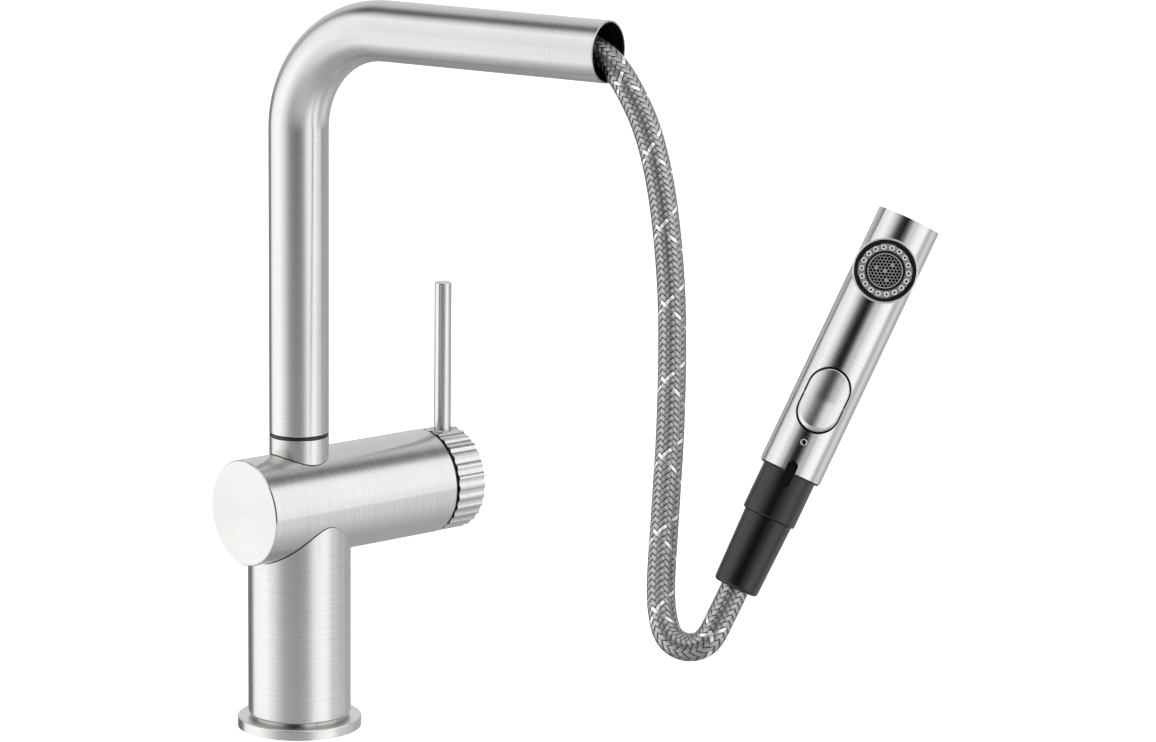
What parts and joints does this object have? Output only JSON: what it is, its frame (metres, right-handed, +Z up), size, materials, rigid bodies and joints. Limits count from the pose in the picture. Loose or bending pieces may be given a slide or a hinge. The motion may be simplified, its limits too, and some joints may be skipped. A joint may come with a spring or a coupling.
{
  "type": "pull-out kitchen mixer tap",
  "caption": "Brushed-steel kitchen mixer tap with a side lever, a swivelling L-shaped spout and a pull-out hand spray on a braided hose, shown pulled out.",
  "frame": {"origin": "centre of the base flange's underside, on the worktop", "axes": "+Z up; the mixing barrel lies along X with the lever at +X; the spout points along -Y, turned 16.5 degrees towards +X at rest"},
  "size_m": [0.1503, 0.3389, 0.4335],
  "materials": {
    "brushed_steel": "brushed",
    "brass": "machined",
    "copper": "drawn",
    "black_plastic": "satin",
    "grey_plastic": "satin",
    "cartridge_plastic": "satin",
    "pale_plastic": "satin",
    "ceramic": "lapped",
    "rubber": "matt",
    "grey_silicone": "matt",
    "small_steel": "turned",
    "braid": "braided"
  },
  "bodies": {
    "base": {"base_flange": "brushed_steel", "base_column": "brushed_steel", "mixer_barrel": "brushed_steel", "spout_neck": "brushed_steel", "threaded_shank": "brass", "shank_nut": "brass", "inlet_manifold": "brass", "swivel_spigot": "brass", "cartridge_seat": "brass", "cartridge_nut": "brass", "hose_tail_nut": "brass", "feed_pipe_hot": "copper", "feed_pipe_cold": "copper", "mixed_return_pipe": "copper", "swivel_ring": "black_plastic", "barrel_end_ring": "black_plastic", "cartridge_base": "cartridge_plastic", "cartridge_housing": "cartridge_plastic", "ceramic_disc_fixed": "ceramic", "base_gasket": "rubber", "rubber_washer": "rubber", "swivel_o_rings": "rubber", "cartridge_seals": "rubber", "steel_washer": "small_steel", "spout_clip": "small_steel", "hose_tail_ferrule": "small_steel", "hose_column": "braid"},
    "carrier": {"cartridge_carrier": "cartridge_plastic", "stem_pivot_pin": "small_steel"},
    "disc": {"ceramic_disc_moving": "ceramic"},
    "lever": {"lever_stem": "small_steel", "handle_cap": "brushed_steel", "handle_rod": "brushed_steel", "handle_grub_screw": "small_steel"},
    "spout": {"spout_tube": "brushed_steel", "spout_bush": "pale_plastic", "docking_sleeve": "black_plastic", "hose_riser": "braid"},
    "hose": {"hose_arm": "braid", "hose_free": "braid", "hose_ferrule": "small_steel", "hose_cone": "brass"},
    "handset": {"handset_shell": "brushed_steel", "handset_end_cap": "brushed_steel", "set_screw": "small_steel", "docking_collar": "black_plastic", "docking_lip_seal": "rubber", "hose_nut_cover": "black_plastic", "hose_washer": "rubber", "check_valve": "grey_plastic", "handset_core": "grey_plastic", "rocker_pin": "small_steel", "plunger_spring": "small_steel", "aerator_housing": "black_plastic", "nozzle_ring": "grey_silicone", "aerator_body": "grey_plastic", "aerator_screen": "grey_plastic"},
    "rocker": {"rocker_button": "brushed_steel"},
    "plunger": {"diverter_plunger": "grey_plastic"}
  },
  "joints": [
    {"name": "spout_swivel", "type": "hinge", "parent": "base", "child": "spout", "pos_m": [0, 0, 0.1418], "axis": [0, 0, 1], "range_deg": [-180, 180]},
    {"name": "hose_pull", "type": "slide", "parent": "spout", "child": "hose", "axis": [0.284, -0.9588, 0], "range_m": [0, 0.1]},
    {"name": "handset_swivel", "type": "hinge", "parent": "hose", "child": "handset", "pos_m": [0.05325, -0.27568, 0.16485], "axis": [0.4342, -0.139, 0.89], "continuous": true},
    {"name": "spray_rocker", "type": "hinge", "parent": "handset", "child": "rocker", "pos_m": [0.06376, -0.28454, 0.19609], "axis": [0.5906, -0.7021, -0.3978], "range_deg": [0, 6]},
    {"name": "plunger_slide", "type": "slide", "parent": "handset", "child": "plunger", "axis": [0.6802, 0.6984, -0.2228], "range_m": [0, 0.00115]},
    {"name": "lever_turn", "type": "hinge", "parent": "base", "child": "carrier", "pos_m": [0.048, 0, 0.1075], "axis": [1, 0, 0], "range_deg": [-45, 45]},
    {"name": "lever_tilt", "type": "hinge", "parent": "carrier", "child": "lever", "pos_m": [0.048, 0, 0.1075], "axis": [0, 1, 0], "range_deg": [0, 20]},
    {"name": "disc_slide", "type": "slide", "parent": "carrier", "child": "disc", "axis": [0, 0, 1], "range_m": [0, 0.003]}
  ],
  "couplings": [
    {"joint": "plunger_slide", "follows": "spray_rocker", "m_per_rad": 0.01},
    {"joint": "disc_slide", "follows": "lever_tilt", "m_per_rad": 0.0082}
  ]
}
